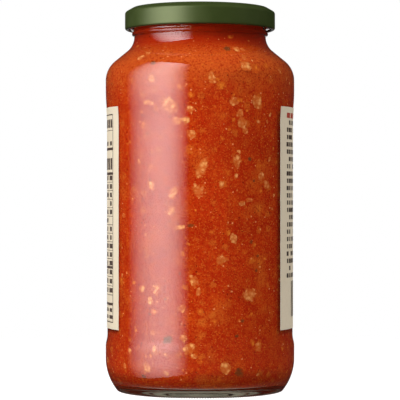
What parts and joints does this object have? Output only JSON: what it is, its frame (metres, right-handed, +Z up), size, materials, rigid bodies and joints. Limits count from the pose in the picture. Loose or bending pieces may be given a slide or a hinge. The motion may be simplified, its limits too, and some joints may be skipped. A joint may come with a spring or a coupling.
{
  "type": "tomato sauce jar",
  "caption": "Shut glass jar of chunky tomato sauce with a green steel twist-off cap and a plain cream paper label wrapped round most of its body.",
  "frame": {"origin": "middle of the base, in the plane the jar stands on", "axes": "+Z up along the jar's axis; the side without a label faces -Y, and the middle of the label faces +Y"},
  "size_m": [0.083, 0.083, 0.168],
  "materials": {
    "clear_glass": "polished",
    "green_enamel": "satin",
    "tomato_sauce": "satin",
    "label_paper": "matte"
  },
  "bodies": {
    "root": {"jar": "clear_glass", "lid": "green_enamel", "sauce": "tomato_sauce", "label": "label_paper"}
  },
  "joints": []
}
